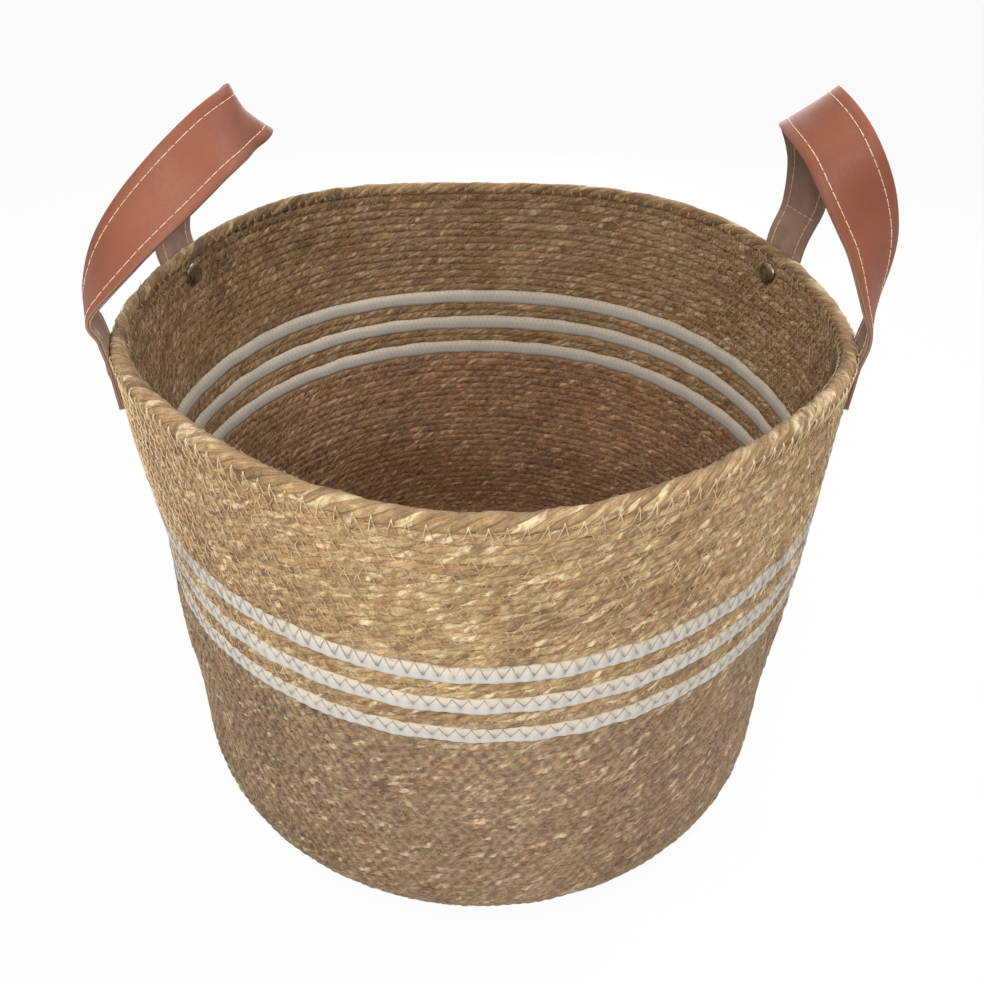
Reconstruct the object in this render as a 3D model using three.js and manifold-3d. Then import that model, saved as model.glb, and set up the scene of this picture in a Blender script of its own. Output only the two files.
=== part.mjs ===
// A round storage basket of sewn jute cord, with three white cords and two riveted leather handles.
// Millimetres, +Z up. The origin is the middle of the underside, +X is to the right of the front view
// and the front faces -Y. The wall is one coil of thin cord sewn row on row, so it is built from its
// rows. Each handle is one leather strap, lined inside, that is held by a rivet at both ends.

import * as THREE from 'three';
import { mergeVertices } from 'three/addons/utils/BufferGeometryUtils.js';
import Module from 'manifold-3d';

const wasm = await Module();
wasm.setup();

// Driving dimensions of the woven body
const rimRadius = 150;            // outside of the wall at the rim
const rimHeight = 236;            // mean height of the rim
const footRadius = 144;           // outside of the wall just above the rounded bottom edge
const cornerRadius = 26;          // rounded bottom edge
const waistDepth = 1.8;           // the wall draws in a little above the bottom edge
const waistHeight = 68;
const waistReach = 28;
const wallThickness = 5;
const baseThickness = 5;
const rowPitch = 4.1;             // one row of natural cord
const rowRelief = 0.7;            // depth of the groove between two rows
const smoothRelief = 0.35;        // depth of the worn rows on the rounded bottom edge
const rowsAboveWhite = 14;
const spacerRows = 2;             // natural rows between two white cords
const whiteHeight = 8.1;
const whiteBulge = 0.6;           // a white cord stands this far over the natural rows
const rimCordHeight = 5.4;
const rimCordBulge = 0.5;
const rowGap = 0.3;               // clearance between two coils that lie on each other
const ringSegments = 30;
const insideRows = 4;             // the inside is drawn once for this many rows

// Small waves of a hand-sewn rim. They are full at the rim and fade to nothing at the base.
const rimOval = -1.5;             // radius, twice round
const rimLobes = 1.6;             // radius, three times round
const rimSquare = 1.9;            // radius, four times round
const rimTilt = -3.9;             // height, once round: the front stands higher
const rimSaddle = -2.6;           // height, twice round
const rimScallop = -3.0;          // height, four times round

// Driving dimensions of the handles
const strapWidth = 24.5;
const leatherThickness = 1.3;
const liningThickness = 0.8;
const layerGap = 0.3;
const seatGap = 0.3;              // strap to wall, rivet cap to what it clamps
const rivetSpacing = 92;          // between the two rivets of one handle, straight across
const rivetDrop = 11.4;           // rivet below the rim
const strapEndLength = 12.5;      // strap below its rivet
const hingeRise = 5.7;            // the bending line of the strap lies this far above the rim
const hingeRadius = 2.4;          // round seat in which the strap bends
const hingeGap = 0.3;
const hingeSegments = 16;
const hingeLean = 3.2;            // the strap leans outwards from its rivet to the bending line
const loopStepsPerSpan = 3;
const curveTension = 0.5;

// Driving dimensions of the rivets
const capRadius = 5.2;
const capHeight = 1.9;
const capEdge = 0.5;
const capShoulder = { radius: 0.6, height: 0.85 };   // shares of the cap where its dome turns over
const postRadius = 1.7;
const postGap = 0.3;
const postEngagement = 0.8;       // how far the post reaches into the inner cap
const rivetSegments = 12;

// The middle of each handle on the rim, in degrees from +X, and the free part of its strap.
// A point is [out, along, up] from the middle of the bending line, then the strap's turn about
// the vertical and its tip, in degrees. Both straps have the same length and hang differently.
const handles = [
  {
    side: 'right',
    bearing: 5.5,
    ends: ['front', 'back'],
    loop: [
      [-1, -46.5, 9.5, 56, -6],
      [-7.5, -44, 37, 18, 1],
      [-21, -33.5, 64, -23, 19],
      [-22.5, -3, 70.5, -53, 38],
      [-7, 30.5, 58, -52, 37],
      [3.5, 44.5, 38.5, -57, 29],
      [5, 47.5, 15.5, -65, 15],
    ],
  },
  {
    side: 'left',
    bearing: 177.4,
    ends: ['back', 'front'],
    loop: [
      [-5, -45.5, 18.5, 74, 24],
      [-20.5, -40.5, 40.5, 74, 45],
      [-42, -28, 60, 75, 48],
      [-51, -8.5, 64.5, 75, 31],
      [-40, 21, 57, 24, 6],
      [-15, 40, 33.5, -14, -4],
      [1, 47, 11, -62, -3],
    ],
  },
];

const colours = {
  jute: { color: 0xb4966e, roughness: 0.9, metalness: 0 },
  juteLower: { color: 0x9b8064, roughness: 0.9, metalness: 0 },
  white: { color: 0xe1ded7, roughness: 0.85, metalness: 0 },
  leather: { color: 0xa96e56, roughness: 0.5, metalness: 0 },
  lining: { color: 0x7a5f4e, roughness: 0.85, metalness: 0 },
  bronze: { color: 0x5a5346, roughness: 0.35, metalness: 0.9 },
};

const degree = Math.PI / 180;
const part = new THREE.Group();

function addNode(name, geometry, look) {
  const mesh = new THREE.Mesh(geometry, new THREE.MeshStandardMaterial(colours[look]));
  mesh.name = name;
  part.add(mesh);
}

// Solids for cuts

function toSolid(geometry) {
  const bare = geometry.clone();
  bare.deleteAttribute('normal');
  bare.deleteAttribute('uv');
  const merged = mergeVertices(bare, 1e-4);
  return new wasm.Manifold(new wasm.Mesh({
    numProp: 3,
    vertProperties: new Float32Array(merged.attributes.position.array),
    triVerts: new Uint32Array(merged.index.array),
  }));
}

function toGeometry(solid) {
  const mesh = solid.getMesh();
  const geometry = new THREE.BufferGeometry();
  geometry.setAttribute('position', new THREE.BufferAttribute(mesh.vertProperties, 3));
  geometry.setIndex(new THREE.BufferAttribute(mesh.triVerts, 1));
  return geometry;
}

// The woven body

// Outside radius of the wall at a height, above the rounded bottom edge
function wallRadius(z) {
  const climb = (z - cornerRadius) / (rimHeight - cornerRadius);
  const waist = waistDepth * Math.exp(-(((z - waistHeight) / waistReach) ** 2));
  const start = waistDepth * Math.exp(-(((cornerRadius - waistHeight) / waistReach) ** 2));
  return footRadius + (rimRadius - footRadius) * climb - waist + start * (1 - climb);
}

// A place on the true lathe shape, moved by the waves of the rim
function shaped(radius, angle, z) {
  const share = (z / rimHeight) ** 2;
  const out = rimOval * Math.cos(2 * angle) + rimLobes * Math.sin(3 * angle) + rimSquare * Math.cos(4 * angle);
  const lift = rimTilt * Math.sin(angle) + rimSaddle * Math.cos(2 * angle) + rimScallop * Math.cos(4 * angle);
  const reach = radius + share * out;
  return new THREE.Vector3(reach * Math.cos(angle), reach * Math.sin(angle), z + share * lift);
}

// A place over the wall's outside, with the direction out of the wall and the one round it
function overWall(angle, z, distance) {
  const small = 0.001;            // a step to take a direction from
  const here = shaped(wallRadius(z), angle, z);
  const round = shaped(wallRadius(z), angle + small, z).sub(here).normalize();
  const up = shaped(wallRadius(z + small), angle, z + small).sub(here).normalize();
  const out = new THREE.Vector3().crossVectors(round, up).normalize();
  return { place: here.addScaledVector(out, distance), out, round };
}

// A closed profile of [radius, height] points, turned about Z and given the waves of the rim
function coil(profile) {
  const points = profile.map(([radius, z]) => new THREE.Vector2(radius, z));
  points.push(points[0].clone());
  const geometry = new THREE.LatheGeometry(points, ringSegments);
  geometry.rotateX(Math.PI / 2);
  const position = geometry.attributes.position;
  for (let i = 0; i < position.count; i += 1) {
    const x = position.getX(i);
    const y = position.getY(i);
    const place = shaped(Math.hypot(x, y), Math.atan2(y, x), position.getZ(i));
    position.setXYZ(i, place.x, place.y, place.z);
  }
  return geometry;
}

// One line through the middle of the wall's outside: the bottom edge's arc, then the wall.
// It gives the point at a length from the end of the flat base, and the outward direction there.
const cornerCentre = footRadius - cornerRadius;
const cornerLength = cornerRadius * Math.PI / 2;

function outline(length) {
  if (length < cornerLength) {
    const turn = length / cornerRadius;
    const out = [Math.sin(turn), -Math.cos(turn)];
    return {
      point: [cornerCentre + cornerRadius * out[0], cornerRadius + cornerRadius * out[1]],
      out,
    };
  }
  const z = cornerRadius + length - cornerLength;
  return { point: [wallRadius(z), z], out: [1, 0] };
}

// Rows between two lengths of the outline, with a groove between each two rows. The rounded
// bottom edge is worn smooth, so its rows show no groove.
function rowsProfile(from, to, rows) {
  const outside = [];
  const inside = [];
  const pitch = (to - from) / rows;
  for (let row = 0; row < rows; row += 1) {
    const worn = from + (row + 1) * pitch < cornerLength;
    const shares = worn ? [[0, smoothRelief]] : [[0, rowRelief], [0.5, 0]];
    for (const [share, depth] of shares) {
      const { point, out } = outline(from + (row + share) * pitch);
      outside.push([point[0] - depth * out[0], point[1] - depth * out[1]]);
    }
    if (row % insideRows === 0) {
      const { point, out } = outline(from + row * pitch);
      inside.unshift([point[0] - wallThickness * out[0], point[1] - wallThickness * out[1]]);
    }
  }
  const { point, out } = outline(to);
  outside.push([point[0] - rowRelief * out[0], point[1] - rowRelief * out[1]]);
  inside.unshift([point[0] - wallThickness * out[0], point[1] - wallThickness * out[1]]);
  return [...outside, ...inside];
}

// A thick cord that lies on the wall's line, with rounded sides
function cordProfile(bottom, top, bulge) {
  const height = top - bottom;
  const sides = [[0, 0.35], [0.2, 0.85], [0.5, 1], [0.8, 0.85], [1, 0.35]];
  const outside = sides.map(([share, swell]) => {
    const z = bottom + share * height;
    return [wallRadius(z) - rowRelief + swell * (bulge + rowRelief), z];
  });
  const inside = sides.map(([share, swell]) => {
    const z = bottom + share * height;
    return [wallRadius(z) - wallThickness + rowRelief - swell * (bulge + rowRelief), z];
  });
  return [...outside, ...inside.reverse()];
}

const lengthAt = (z) => cornerLength + z - cornerRadius;

// Heights of the stack, from the rim down
const whiteNames = ['upper', 'middle', 'lower'];
const upperRowsTop = rimHeight - rimCordHeight;
const upperRowsBottom = upperRowsTop - rowsAboveWhite * rowPitch;

const upperWall = rowsProfile(
  lengthAt(upperRowsBottom + rowGap / 2),
  lengthAt(upperRowsTop - rowGap / 2),
  rowsAboveWhite,
);

let stackTop = upperRowsBottom;
whiteNames.forEach((name, i) => {
  const bottom = stackTop - whiteHeight;
  const profile = cordProfile(bottom + rowGap / 2, stackTop - rowGap / 2, whiteBulge);
  addNode(`white_cord_${name}`, coil(profile), 'white');
  stackTop = bottom;
  if (i < whiteNames.length - 1) {
    const spacerBottom = stackTop - spacerRows * rowPitch;
    const rows = rowsProfile(lengthAt(spacerBottom + rowGap / 2), lengthAt(stackTop - rowGap / 2), spacerRows);
    addNode(`spacer_rows_${['upper', 'lower'][i]}`, coil(rows), 'jute');
    stackTop = spacerBottom;
  }
});

const lowerRowsLength = lengthAt(stackTop) - rowGap;
const lowerRows = Math.round(lowerRowsLength / rowPitch);
addNode('lower_wall_coil', coil(rowsProfile(rowGap / 2, lengthAt(stackTop - rowGap / 2), lowerRows)), 'juteLower');

const baseEdge = cornerCentre - rowGap / 2;
addNode('base_coil', coil([
  [0, 0],
  [baseEdge, 0],
  [baseEdge, baseThickness],
  [0, baseThickness],
]), 'juteLower');

addNode('rim_cord', coil(cordProfile(upperRowsTop + rowGap / 2, rimHeight, rimCordBulge)), 'jute');

// The handles

const strapThickness = leatherThickness + layerGap + liningThickness;
const rivetHeight = rimHeight - rivetDrop;

// A strap's own frame: out of the basket, along the rim, and up, from the middle of its bending line
function handleFrame(handle) {
  const bearing = handle.bearing * degree;
  const half = Math.asin(rivetSpacing / 2 / rimRadius);
  const out = new THREE.Vector3(Math.cos(bearing), Math.sin(bearing), 0);
  const along = new THREE.Vector3(-Math.sin(bearing), Math.cos(bearing), 0);
  const angles = [bearing - half, bearing + half];
  const seat = seatGap + strapThickness / 2 + hingeLean;
  const lines = angles.map((angle) => overWall(angle, rimHeight, seat).place);
  const hingeHeight = (lines[0].z + lines[1].z) / 2 + hingeRise;
  lines.forEach((point) => point.setZ(hingeHeight));
  const middle = lines[0].clone().add(lines[1]).multiplyScalar(0.5);
  return { out, along, angles, lines, middle };
}

// On its bending line the strap lies square to the line, at the same turn on both ends but mirrored
const squareTurn = 90;
const endSign = (end) => 1 - 2 * end;

// Stations down the whole strap, from under the first rivet to under the second one
function strapStations(handle, frame) {
  const seat = seatGap + strapThickness / 2;
  const fastenedHeights = [rivetHeight - strapEndLength, rivetHeight, rivetHeight + capRadius + seatGap];
  const places = [];
  const turns = [];
  const add = (place, turn, tip) => {
    places.push(place);
    turns.push(new THREE.Vector3(turn, tip, 0));
  };
  const fasten = (end, heights) => {
    const sign = endSign(end);
    const { round } = overWall(frame.angles[end], rivetHeight, seat);
    const turn = Math.atan2(sign * round.dot(frame.along), sign * round.dot(frame.out)) / degree;
    const stops = heights.map((z) => overWall(frame.angles[end], z, seat).place);
    return { turn, stops };
  };
  const start = fasten(0, fastenedHeights);
  start.stops.forEach((place) => add(place, start.turn, 0));
  add(frame.lines[0], squareTurn * endSign(0), 0);
  handle.loop.forEach(([out, along, up, turn, tip]) => {
    const place = frame.middle.clone();
    place.addScaledVector(frame.out, out);
    place.addScaledVector(frame.along, along);
    place.z += up;
    add(place, turn, tip);
  });
  const finish = fasten(1, fastenedHeights.reverse());
  add(frame.lines[1], squareTurn * endSign(1), 0);
  finish.stops.forEach((place) => add(place, finish.turn, 0));
  const path = new THREE.CatmullRomCurve3(places, false, 'catmullrom', curveTension);
  const twist = new THREE.CatmullRomCurve3(turns, false, 'catmullrom', curveTension);
  const steps = (places.length - 1) * loopStepsPerSpan;
  const stations = [];
  for (let i = 0; i <= steps; i += 1) {
    const share = i / steps;
    const { x: turn, y: tip } = twist.getPoint(share);
    const flat = Math.cos(tip * degree);
    const across = new THREE.Vector3();
    across.addScaledVector(frame.out, flat * Math.cos(turn * degree));
    across.addScaledVector(frame.along, flat * Math.sin(turn * degree));
    across.z = Math.sin(tip * degree);
    const ahead = path.getTangent(share);
    across.addScaledVector(ahead, -across.dot(ahead)).normalize();
    stations.push({
      centre: path.getPoint(share),
      across,
      face: new THREE.Vector3().crossVectors(across, ahead).normalize(),
    });
  }
  return stations;
}

// One layer of a strap, between two depths from the middle of the strap's thickness
function strapLayer(stations, inner, outer) {
  const vertices = [];
  const half = strapWidth / 2;
  stations.forEach(({ centre, across, face }) => {
    for (const [side, depth] of [[half, inner], [half, outer], [-half, outer], [-half, inner]]) {
      const corner = centre.clone().addScaledVector(across, side).addScaledVector(face, depth);
      vertices.push(corner.x, corner.y, corner.z);
    }
  });
  // Both broad faces are split along the same diagonal, so that the layers stay parallel in a twist
  const faces = [];
  const quad = (a, b, c, d) => faces.push(a, b, c, a, c, d);
  for (let i = 0; i + 1 < stations.length; i += 1) {
    const low = i * 4;
    const high = low + 4;
    quad(low, high, high + 1, low + 1);
    quad(low + 1, high + 1, high + 2, low + 2);
    quad(low + 2, high + 2, high + 3, low + 3);
    quad(high + 3, high, low, low + 3);
  }
  const last = (stations.length - 1) * 4;
  quad(0, 1, 2, 3);
  quad(last + 3, last + 2, last + 1, last);
  const geometry = new THREE.BufferGeometry();
  geometry.setAttribute('position', new THREE.Float32BufferAttribute(vertices, 3));
  geometry.setIndex(faces);
  return geometry;
}

// Cutting shapes for the bending line: all that lies under it on one end, outside a round seat
function underHinge(frame, end, seatRadius) {
  const size = rimRadius;
  const box = new THREE.BoxGeometry(size, size, size);
  const place = frame.middle.clone().addScaledVector(frame.along, -endSign(end) * size / 2);
  box.rotateZ(Math.atan2(frame.out.y, frame.out.x));
  box.translate(place.x, place.y, place.z - size / 2);
  const seat = new THREE.CylinderGeometry(seatRadius, seatRadius, 2 * rivetSpacing, hingeSegments);
  const line = frame.lines[1].clone().sub(frame.lines[0]).normalize();
  seat.applyQuaternion(new THREE.Quaternion().setFromUnitVectors(new THREE.Vector3(0, 1, 0), line));
  seat.translate(frame.middle.x, frame.middle.y, frame.middle.z);
  return toSolid(box).subtract(toSolid(seat));
}

// A shape turned about Y is set on the wall at a rivet, with +Y pointing out of the wall
function setOnWall(geometry, angle) {
  const { place, out } = overWall(angle, rivetHeight, 0);
  geometry.applyQuaternion(new THREE.Quaternion().setFromUnitVectors(new THREE.Vector3(0, 1, 0), out));
  geometry.translate(place.x, place.y, place.z);
  return geometry;
}

function rivetPart(profile, angle) {
  const points = profile.map(([radius, depth]) => new THREE.Vector2(radius, depth));
  return setOnWall(new THREE.LatheGeometry(points, rivetSegments), angle);
}

// The domed cap outside and its post, which passes through strap, lining and wall
function rivetProfile() {
  const seat = 2 * seatGap + strapThickness;
  const tip = -wallThickness - seatGap - postEngagement;
  return [
    [0, tip],
    [postRadius, tip],
    [postRadius, seat],
    [capRadius, seat],
    [capRadius, seat + capEdge],
    [capRadius * capShoulder.radius, seat + capHeight * capShoulder.height],
    [0, seat + capHeight],
  ];
}

// The cap inside the basket, with the socket that the post is pressed into
function innerCapProfile() {
  const seat = -wallThickness - seatGap;
  const socketEnd = seat - postEngagement - postGap;
  return [
    [0, seat - capHeight],
    [capRadius * capShoulder.radius, seat - capHeight * capShoulder.height],
    [capRadius, seat - capEdge],
    [capRadius, seat],
    [postRadius + postGap, seat],
    [postRadius + postGap, socketEnd],
    [0, socketEnd],
  ];
}

function rivetHole(angle) {
  const length = 6 * wallThickness;
  const hole = new THREE.CylinderGeometry(postRadius + postGap, postRadius + postGap, length, rivetSegments);
  return toSolid(setOnWall(hole, angle));
}

// The round bed that the inner cap presses into the cord, so that it lies flat in the curved wall
function capBed(angle) {
  const bed = new THREE.CylinderGeometry(capRadius + postGap, capRadius + postGap, wallThickness, rivetSegments);
  bed.translate(0, -wallThickness * 3 / 2, 0);
  return toSolid(setOnWall(bed, angle));
}

let drilledWall = toSolid(coil(upperWall));

handles.forEach((handle) => {
  const frame = handleFrame(handle);
  const stations = strapStations(handle, frame);
  const face = strapThickness / 2;
  const layers = [
    ['strap', strapLayer(stations, face - leatherThickness, face), 'leather'],
    ['lining', strapLayer(stations, -face, liningThickness - face), 'lining'],
  ];
  frame.angles.forEach((angle, end) => {
    const name = `${handle.side}_${handle.ends[end]}`;
    const hole = rivetHole(angle);
    drilledWall = drilledWall.subtract(hole).subtract(capBed(angle));
    layers.forEach(([layer, geometry, look]) => {
      const under = underHinge(frame, end, hingeRadius + hingeGap / 2);
      const piece = toSolid(geometry).intersect(under).subtract(hole);
      addNode(`${layer}_end_${name}`, toGeometry(piece), look);
    });
    addNode(`rivet_${name}`, rivetPart(rivetProfile(), angle), 'bronze');
    addNode(`rivet_inner_cap_${name}`, rivetPart(innerCapProfile(), angle), 'bronze');
  });
  layers.forEach(([layer, geometry, look]) => {
    let loop = toSolid(geometry);
    [0, 1].forEach((end) => {
      loop = loop.subtract(underHinge(frame, end, hingeRadius - hingeGap / 2));
    });
    addNode(`${layer}_loop_${handle.side}`, toGeometry(loop), look);
  });
});

addNode('upper_wall_coil', toGeometry(drilledWall), 'jute');

export default part;
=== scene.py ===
"""Looks of the jute storage basket: sewn cord rows, white cords, stitching, leather handles and rivets.

Sizes are in millimetres until a mesh is made, and MM turns them into metres. The wall's shape, the heights
of its rows and the places of the handles follow the CAD model. Only here, the wall has a shallow dent at
the left, and the straps are a little thinner and stand closer to the wall.
"""

import math

import bpy
import numpy as np
from mathutils import Matrix, Vector


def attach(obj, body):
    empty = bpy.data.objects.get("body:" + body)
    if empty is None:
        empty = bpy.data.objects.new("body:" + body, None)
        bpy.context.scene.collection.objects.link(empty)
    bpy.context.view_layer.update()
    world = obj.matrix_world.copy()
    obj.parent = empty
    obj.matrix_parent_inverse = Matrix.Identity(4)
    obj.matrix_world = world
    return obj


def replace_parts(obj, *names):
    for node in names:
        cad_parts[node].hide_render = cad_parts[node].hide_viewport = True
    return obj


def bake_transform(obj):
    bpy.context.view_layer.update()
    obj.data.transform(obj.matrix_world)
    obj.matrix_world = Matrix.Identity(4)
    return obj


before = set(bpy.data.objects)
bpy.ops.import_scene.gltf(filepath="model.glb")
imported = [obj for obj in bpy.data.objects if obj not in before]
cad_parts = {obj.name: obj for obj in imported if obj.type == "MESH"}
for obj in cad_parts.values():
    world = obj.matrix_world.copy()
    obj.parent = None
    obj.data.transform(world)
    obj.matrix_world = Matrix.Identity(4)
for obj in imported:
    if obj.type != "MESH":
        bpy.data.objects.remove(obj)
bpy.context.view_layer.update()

MM = 0.001
TURN = 2 * math.pi
SEED = 7

# Sizes of the woven body
RIM_RADIUS = 150
RIM_HEIGHT = 236
FOOT_RADIUS = 144
CORNER_RADIUS = 26
WAIST_DEPTH, WAIST_HEIGHT, WAIST_REACH = 1.8, 68, 28
WALL_THICKNESS = 5
ROW_PITCH = 4.1
ROWS_ABOVE_WHITE = 14
SPACER_ROWS = 2
WHITE_HEIGHT = 8.1
WHITE_BULGE = 0.6
RIM_CORD_HEIGHT = 5.4
RIM_CORD_BULGE = 0.5
RIM_OVAL, RIM_LOBES, RIM_SQUARE = -1.5, 1.6, 1.9
RIM_TILT, RIM_SADDLE, RIM_SCALLOP = -3.9, -2.6, -3.0
DENT_DEPTH, DENT_ANGLE, DENT_SPREAD = 3.6, math.radians(203), 0.3
DENT_HEIGHT, DENT_REACH = 150, 34

# Sizes of the handles
STRAP_WIDTH = 24.5
STRAP_THICKNESS = 2.0
LEATHER_SHARE = 0.6
SEAT_GAP = 0.3
RIVET_SPACING = 92
RIVET_DROP = 11.4
STRAP_END_LENGTH = 12.5
HINGE_RISE = 5.7
STRAP_LEAN = 1.3
CAP_RADIUS = 5.2
CAP_HEIGHT = 1.9
HANDLES = {
    "right": {
        "bearing": 5.5,
        "ends": ("front", "back"),
        "loop": (
            (-1, -46.5, 9.5, 56, -6),
            (-7.5, -44, 37, 18, 1),
            (-21, -33.5, 64, -23, 19),
            (-22.5, -3, 70.5, -53, 38),
            (-7, 30.5, 58, -52, 37),
            (3.5, 44.5, 38.5, -57, 29),
            (5, 47.5, 15.5, -65, 15),
        ),
    },
    "left": {
        "bearing": 177.4,
        "ends": ("back", "front"),
        "loop": (
            (-5, -45.5, 18.5, 74, 24),
            (-20.5, -40.5, 40.5, 74, 45),
            (-40, -28, 56, 75, 48),
            (-51, -8.5, 64.5, 75, 31),
            (-40, 21, 57, 24, 6),
            (-15, 40, 33.5, -14, -4),
            (1, 47, 11, -62, -3),
        ),
    },
}

# Sizes of the cord's lay and of the sewing
BUNDLES = 6
LAY_LENGTH = 39
ROW_STITCH = 4.8
RIM_STITCH = 5.4
WHITE_STITCHES = (5.2, 5.3, 5.5)
THREAD_RADIUS = 0.22
STITCH_REACH = 0.62


# Camera, light and stage


def photo_camera():
    """The camera of the photograph, fitted to the rim, the white cords and the sides."""
    place = Vector((0, -363.60, 406.56)) * MM
    pitch, yaw, roll = (math.radians(a) for a in (36.876, 0.63, 0.99))
    focal_pixels, photo_width = 948.18, 984
    ahead = Vector((math.sin(yaw) * math.cos(pitch), math.cos(yaw) * math.cos(pitch), -math.sin(pitch)))
    level = ahead.cross(Vector((0, 0, 1))).normalized()
    above = level.cross(ahead)
    right = level * math.cos(roll) + above * math.sin(roll)
    up = above * math.cos(roll) - level * math.sin(roll)
    data = bpy.data.cameras.new("photo_camera")
    data.sensor_width = 36
    data.lens = data.sensor_width * focal_pixels / photo_width
    data.clip_start, data.clip_end = 0.01, 20
    camera = bpy.data.objects.new("photo_camera", data)
    camera.matrix_world = Matrix((right, up, -ahead)).transposed().to_4x4()
    camera.location = place
    bpy.context.scene.collection.objects.link(camera)
    bpy.context.scene.camera = camera


# Lamps as (place, aim, size, power), in metres and watts
LAMPS = {
    "lamp_front": ((-0.12, -0.57, 0.64), (0, 0, 0.14), 0.3, 4.1),
    "lamp_side": ((0.45, 0.15, 0.75), (-0.15, 0.0, 0.2), 0.35, 3.1),
    "lamp_back": ((0.1, 0.85, 0.4), (0, 0, 0.1), 0.5, 2.2),
    "lamp_above": ((-0.3, 0.1, 1.6), (0, 0, 0.1), 1.2, 6),
}
SEEN_WHITE, ROOM_LIGHT = 0.93, 0.35
FLOOR_HALF, FLOOR_DROP = 4, 0.0005


def soft_lamp(name, place, aim, size, power):
    data = bpy.data.lights.new(name, "AREA")
    data.shape = "DISK"
    data.size = size
    data.energy = power
    lamp = bpy.data.objects.new(name, data)
    lamp.location = place
    lamp.rotation_mode = "QUATERNION"
    lamp.rotation_quaternion = (Vector(aim) - Vector(place)).to_track_quat("-Z", "Y")
    bpy.context.scene.collection.objects.link(lamp)


def seen_directly(paint):
    """1 for rays that show the background to the camera, also by way of metal, and 0 for its light."""
    rays = ("Is Camera Ray", "Is Glossy Ray", "Is Transmission Ray")
    camera, glossy, through = paint.add("ShaderNodeLightPath", rays)
    return paint.maths("MAXIMUM", paint.maths("MAXIMUM", camera, glossy), through)


def studio():
    """A white floor, an even pale room and soft lamps round the basket and above it."""
    scene = bpy.context.scene
    scene.view_settings.view_transform = "Standard"
    world = bpy.data.worlds.new("pale_room")
    scene.world = world
    world.use_nodes = True
    paint = Paint(world.node_tree)
    sky = world.node_tree.nodes["Background"]
    sky.inputs["Color"].default_value = (1, 1, 1, 1)
    paint.feed(sky.inputs["Strength"], seen_directly(paint) * (SEEN_WHITE - ROOM_LIGHT) + ROOM_LIGHT)
    for name, ways in LAMPS.items():
        soft_lamp(name, *ways)
    points = np.array([(-1, -1, 0), (1, -1, 0), (1, 1, 0), (-1, 1, 0)], float) * FLOOR_HALF
    floor = make_piece("floor", points, np.array([(0, 1, 2, 3)]), floor_paint())
    floor.location.z = -FLOOR_DROP


# Meshes from grids of points


def make_piece(name, points, faces, material, maps=None, tones=None):
    """A mesh object. maps are UV maps as (faces, corners, 2), tones are numbers for each point."""
    mesh = bpy.data.meshes.new(name)
    corners = faces.shape[1]
    mesh.vertices.add(len(points))
    mesh.vertices.foreach_set("co", np.ascontiguousarray(points, np.float32).ravel())
    mesh.loops.add(faces.size)
    mesh.loops.foreach_set("vertex_index", faces.astype(np.int32).ravel())
    mesh.polygons.add(len(faces))
    mesh.polygons.foreach_set("loop_start", np.arange(len(faces), dtype=np.int32) * corners)
    for title, places in (maps or {}).items():
        layer = mesh.uv_layers.new(name=title)
        layer.uv.foreach_set("vector", np.ascontiguousarray(places, np.float32).ravel())
    for title, values in (tones or {}).items():
        layer = mesh.attributes.new(title, "FLOAT", "POINT")
        layer.data.foreach_set("value", np.ascontiguousarray(values, np.float32).ravel())
    mesh.update(calc_edges=True)
    mesh.validate()
    mesh.shade_smooth()
    mesh.materials.append(material)
    piece = bpy.data.objects.new(name, mesh)
    bpy.context.scene.collection.objects.link(piece)
    return piece


def corner_values(values):
    """For a grid of values, those at the four corners of each cell, as (cells, 4, ...)."""
    four = (values[:-1, :-1], values[1:, :-1], values[1:, 1:], values[:-1, 1:])
    return np.stack([v.reshape(-1, *values.shape[2:]) for v in four], axis=1)


class Grids:
    """Collects grids of points that become one mesh. Each grid is closed round its columns."""

    def __init__(self):
        self.points = []
        self.faces = []
        self.maps = {}
        self.tones = {}
        self.count = 0

    def add(self, grid, maps=None, tones=None, close_rows=False, caps=False):
        rows, columns = grid.shape[:2]
        index = np.arange(rows * columns).reshape(rows, columns) + self.count
        if close_rows:
            index = np.vstack([index, index[:1]])
        index = np.hstack([index, index[:, :1]])
        self.points.append(grid.reshape(-1, 3))
        self.faces.append(corner_values(index))
        for title, values in (maps or {}).items():
            self.maps.setdefault(title, []).append(corner_values(values))
        for title, values in (tones or {}).items():
            self.tones.setdefault(title, []).append(np.broadcast_to(values, (rows, columns)).ravel())
        self.count += rows * columns
        if caps:
            self.cap(index[0, :columns][::-1], maps)
            self.cap(index[-1, :columns], maps)

    def cap(self, ring, maps):
        """Closes an end of a tube whose ring has an even number of points with a fan of four-sided faces."""
        half = len(ring) // 2
        for k in range(half - 1):
            face = [ring[k], ring[k + 1], ring[len(ring) - 2 - k], ring[len(ring) - 1 - k]]
            self.faces.append(np.array([face]))
            for title in maps or {}:
                self.maps[title].append(np.zeros((1, 4, 2)))

    def piece(self, name, material):
        maps = {title: np.concatenate(parts) for title, parts in self.maps.items()}
        tones = {title: np.concatenate(parts) for title, parts in self.tones.items()}
        points = np.concatenate(self.points) * MM
        return make_piece(name, points, np.concatenate(self.faces), material, maps, tones)


def strip_places(along, columns, strips, strip):
    """Places for baking: a long strip is cut into equal lengths, which lie above each other in the map."""
    across = np.linspace(0.02, 0.98, columns + 1)
    return np.stack(np.broadcast_arrays(along[:, None], (strip + across) / strips), axis=-1)


def unit(vectors):
    return vectors / np.linalg.norm(vectors, axis=-1, keepdims=True)


def added_up(steps):
    """The way travelled at each place, from 0."""
    return np.concatenate([[0], np.cumsum(steps)])


# The shape of the wall


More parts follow.
